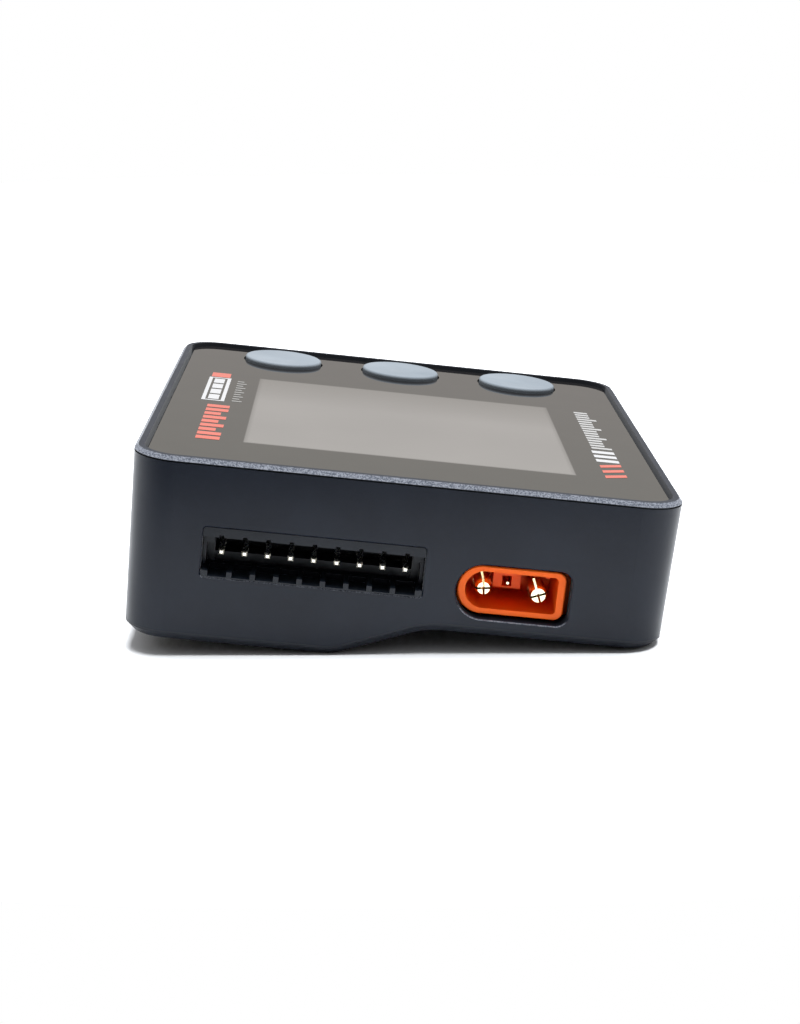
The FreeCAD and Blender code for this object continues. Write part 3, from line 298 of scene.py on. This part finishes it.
MATERIALS = {
    "case_plastic": case_material(),
    "cover_plastic": moulded("cover_plastic", (0.0075, 0.0095, 0.0145), (0.010, 0.013, 0.019),
                             0.42, dust=0.06, specular=0.2),
    "label": label_material(),
    "window": window_material(),
    "tape": moulded("tape", (0.02, 0.02, 0.02), (0.035, 0.035, 0.035), 0.8, 0.4, 0.02),
    "button_plastic": moulded("button_plastic", (0.135, 0.155, 0.175), (0.175, 0.195, 0.215), 0.52,
                              0.22, 0.008, specular=0.4, spread=0.08),
    "screw_steel": metal("screw_steel", (0.05, 0.05, 0.055), (0.09, 0.09, 0.10), 0.35),
    "switch_plastic": moulded("switch_plastic", (0.03, 0.03, 0.03), (0.05, 0.05, 0.05), 0.5),
    "spring_steel": metal("spring_steel", (0.55, 0.55, 0.56), (0.70, 0.70, 0.71), 0.25, 0.2,
                          (0.2, 2, 1)),
    "lcd_glass": screen_material(),
    "lcd_frame": moulded("lcd_frame", (0.68, 0.68, 0.66), (0.78, 0.78, 0.76), 0.5),
    "ribbon_film": moulded("ribbon_film", (0.38, 0.15, 0.02), (0.48, 0.21, 0.04), 0.3, 0.5, 0.01),
    "board": board_material(),
    "chip_plastic": moulded("chip_plastic", (0.014, 0.014, 0.014), (0.03, 0.03, 0.03), 0.55,
                            0.12, 0.01),
    "ceramic_parts": moulded("ceramic_parts", (0.30, 0.22, 0.14), (0.42, 0.33, 0.22), 0.45),
    "connector_black": moulded("connector_black", (0.006, 0.008, 0.012), (0.010, 0.013, 0.019),
                               0.34, 0.5, specular=0.25),
    "pin_gold": metal("pin_gold", (0.95, 0.80, 0.48), (1.0, 0.92, 0.70), 0.18, 0.15,
                      (2, 0.3, 2)),
    "pin_tin": metal("pin_tin", (0.85, 0.80, 0.66), (0.95, 0.92, 0.82), 0.25, 0.15),
    "socket_orange": moulded("socket_orange", (0.93, 0.120, 0.006), (0.99, 0.145, 0.008), 0.42,
                             0.3, specular=0.2),
    "spreader": metal("spreader", (0.60, 0.61, 0.62), (0.75, 0.76, 0.78), 0.3, 0.25, (0.1, 2, 1)),
    "usb_steel": metal("usb_steel", (0.58, 0.58, 0.60), (0.72, 0.72, 0.74), 0.24, 0.2,
                       (1, 0.15, 1)),
}

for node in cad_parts.values():
    for material_slot in node.material_slots:
        material_slot.material = MATERIALS[material_slot.material.name.split(".")[0]]


# --- printed marks on the window ----------------------------------------------------------------
INK_THICK = 0.02
INK_LIFT = 0.002                        # gap that keeps the ink clear of the window's face


def ink(name, colour):
    """Screen-printed ink under a thin gloss coat."""
    g = Graph(name)
    fine = g.noise(0.25, 3.0)
    pale = tuple(min(1.0, c * 1.15) for c in colour)
    tone = g.mix(g.remap(fine, 0.3, 0.7), colour, pale)
    return g.finish(Base_Color=tone, Roughness=0.3, Coat_Weight=1.0, Coat_Roughness=0.05,
                    Normal=g.bump(fine, 0.002))


INKS = {
    "white": ink("ink_white", (0.40, 0.40, 0.41)),
    "orange": ink("ink_orange", (0.42, 0.030, 0.008)),
    "pale": ink("ink_pale", (0.30, 0.30, 0.30)),
    "grey": ink("ink_grey", (0.13, 0.13, 0.13)),
}


def print_marks(name, colour, outlines):
    """One thin raised piece from flat outlines, given as lists of x, y corners in order."""
    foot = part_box("window_panel")[1].z / MM + INK_LIFT
    made = bmesh.new()
    for outline in outlines:
        corners = [made.verts.new((x * MM, y * MM, foot * MM)) for x, y in outline]
        face = made.faces.new(corners)
        raised = bmesh.ops.extrude_face_region(made, geom=[face])["geom"]
        moved = [v for v in raised if isinstance(v, bmesh.types.BMVert)]
        bmesh.ops.translate(made, verts=moved, vec=(0, 0, INK_THICK * MM))
    bmesh.ops.recalc_face_normals(made, faces=made.faces)
    mesh = bpy.data.meshes.new(name)
    made.to_mesh(mesh)
    made.free()
    piece = bpy.data.objects.new(name, mesh)
    bpy.context.scene.collection.objects.link(piece)
    mesh.materials.append(INKS[colour])
    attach(piece, "case")


def bar(x0, x1, y0, y1):
    return [(x0, y0), (x1, y0), (x1, y1), (x0, y1)]


def bars(x0, x1, y, width, gap, lengths):
    """Bars across x, one after another along y. Each length is a share of x1 - x0."""
    made = []
    for share in lengths:
        made.append(bar(x0, x0 + (x1 - x0) * share, y, y + width))
        y += width + gap
    return made


def battery_marks():
    """A battery's outline with four cells in it, and its cap."""
    x0, x1, y0, y1 = -25.0, -22.2, -2.6, 11.8
    line = 0.45
    inset_x, inset_y = 0.75, 0.9        # from the outline's outside to the cells
    cell, pitch = 2.7, 3.3
    shoulder, cap_gap, cap = 0.2, 0.3, 2.7
    outline = [bar(x0, x1, y0, y0 + line), bar(x0, x1, y1 - line, y1),
               bar(x0, x0 + line, y0 + line, y1 - line), bar(x1 - line, x1, y0 + line, y1 - line)]
    starts = [y0 + inset_y + i * pitch for i in range(4)]
    cells = [bar(x0 + inset_x, x1 - inset_x, y, y + cell) for y in starts]
    print_marks("mark_battery", "white", outline + cells)
    cap_foot = y1 + cap_gap
    print_marks("mark_battery_cap", "orange",
                [bar(x0 + shoulder, x1 - shoulder, cap_foot, cap_foot + cap)])


def left_marks():
    """A scale of orange bars, the battery, and a row of grey ticks."""
    short = 0.72
    print_marks("mark_scale", "orange",
                bars(-24.0, -21.3, y=-23.4, width=1.5, gap=0.62,
                     lengths=[1, 1, short, 1, short, 1, short, 1, 1]))
    battery_marks()
    print_marks("mark_ticks", "grey",
                bars(-21.3, -20.1, y=-2.2, width=0.6, gap=0.75, lengths=[1, 0.7] * 5))


def right_marks():
    """Three orange arrowheads, white bars, and a ruler of pale ticks."""
    x0, x1 = 22.4, 25.0
    first, pitch, rise = -23.2, 2.5, 1.2
    starts = [first + i * pitch for i in range(3)]
    arrows = [[(x0, y), (x1, y + rise), (x1, y + 2 * rise), (x0, y + rise)] for y in starts]
    print_marks("mark_arrows", "orange", arrows)
    print_marks("mark_bars", "white",
                bars(22.3, x1, y=-15.2, width=1.3, gap=0.9, lengths=[1] * 3))
    print_marks("mark_ruler", "pale",
                bars(22.5, x1, y=-8.4, width=0.85, gap=0.5, lengths=[1, 0.7, 0.7, 0.7] * 4))


left_marks()
right_marks()


# --- floor, world and light ---------------------------------------------------------------------
# The part leans: it stands on the hump's edge and on the right-hand bevel.
REST_LEFT = (-7.64, 0.0)                # x, z of the two lines it stands on
REST_RIGHT = (28.65, 3.9)
FLOOR_DROP = 0.12                       # gap between the part and the floor
FLOOR_R = 320.0
FLOOR_Y = 225.0                         # the floor's centre, so that it ends just in front
FLOOR_SIDES = 96
WORLD_STOPS = [                         # height of a direction, from -1 to 1, and its light
    (-1.0, (0.9, 0.9, 0.9)),
    (-0.03, (0.8, 0.8, 0.8)),
    (0.0, (0.10, 0.098, 0.09)),
    (0.17, (0.54, 0.505, 0.475)),
    (0.26, (0.665, 0.645, 0.585)),
    (0.5, (0.95, 0.96, 1.0)),
    (1.0, (1.0, 1.02, 1.06)),
]
FRONT_LIGHT = 0.05                      # share of the light left straight in front
FRONT_END = 0.4                         # y of the directions from which all of it is left
SOFTBOX_PLACE = (0.0, 0.10, 1.1)        # metres, as the size is
SOFTBOX_SIZE = (0.7, 0.90)
SOFTBOX_POWER = 34.0
SOFTBOX_COLOUR = (0.94, 0.97, 1.0)


def make_floor():
    made = bmesh.new()
    bmesh.ops.create_circle(made, cap_ends=True, segments=FLOOR_SIDES, radius=FLOOR_R * MM)
    mesh = bpy.data.meshes.new("floor")
    made.to_mesh(mesh)
    made.free()
    floor = bpy.data.objects.new("floor", mesh)
    bpy.context.scene.collection.objects.link(floor)
    slope = (REST_RIGHT[1] - REST_LEFT[1]) / (REST_RIGHT[0] - REST_LEFT[0])
    floor.rotation_euler = (0, -math.atan(slope), 0)
    floor.location = (0, FLOOR_Y * MM, (REST_LEFT[1] - slope * REST_LEFT[0] - FLOOR_DROP) * MM)
    g = Graph("floor")
    white = g.mix(g.noise(40.0), (0.86, 0.86, 0.86), (0.88, 0.88, 0.88))
    mesh.materials.append(g.finish(Base_Color=white, Roughness=0.9, Specular_IOR_Level=0.1))


def make_world():
    """White to the camera. As light, it darkens towards the horizon and towards the front."""
    world = bpy.data.worlds.new("studio")
    bpy.context.scene.world = world
    world.use_nodes = True
    tree = world.node_tree
    tree.nodes.clear()
    new, link = tree.nodes.new, tree.links.new
    split = new("ShaderNodeSeparateXYZ")
    link(new("ShaderNodeTexCoord").outputs["Generated"], split.inputs[0])
    height = new("ShaderNodeMapRange")
    link(split.outputs["Z"], height.inputs["Value"])
    height.inputs["From Min"].default_value = -1.0
    ramp = new("ShaderNodeValToRGB")
    link(height.outputs["Result"], ramp.inputs[0])
    elements = ramp.color_ramp.elements
    while len(elements) < len(WORLD_STOPS):
        elements.new(0.5)
    for element, (z, colour) in zip(elements, WORLD_STOPS):
        element.position = (z + 1) / 2
        element.color = (*colour, 1.0)
    front = new("ShaderNodeMapRange")
    link(split.outputs["Y"], front.inputs["Value"])
    front.inputs["From Min"].default_value = -1.0
    front.inputs["From Max"].default_value = FRONT_END
    front.inputs["To Min"].default_value = FRONT_LIGHT
    glow = new("ShaderNodeBackground")
    link(ramp.outputs["Color"], glow.inputs["Color"])
    link(front.outputs["Result"], glow.inputs["Strength"])
    plain = new("ShaderNodeBackground")
    plain.inputs["Color"].default_value = (1, 1, 1, 1)
    pick = new("ShaderNodeMixShader")
    link(new("ShaderNodeLightPath").outputs["Is Camera Ray"], pick.inputs[0])
    link(glow.outputs[0], pick.inputs[1])
    link(plain.outputs[0], pick.inputs[2])
    link(pick.outputs[0], new("ShaderNodeOutputWorld").inputs["Surface"])


def make_softbox():
    """One soft panel overhead, aimed at the part."""
    data = bpy.data.lights.new("softbox_top", "AREA")
    data.shape = "RECTANGLE"
    data.size, data.size_y = SOFTBOX_SIZE
    data.energy = SOFTBOX_POWER
    data.color = SOFTBOX_COLOUR
    light = bpy.data.objects.new("softbox_top", data)
    bpy.context.scene.collection.objects.link(light)
    light.location = SOFTBOX_PLACE
    light.rotation_euler = (-Vector(SOFTBOX_PLACE)).to_track_quat("-Z", "Y").to_euler()
    light.visible_glossy = False        # no bright panel mirrored in the window


make_floor()
make_world()
make_softbox()
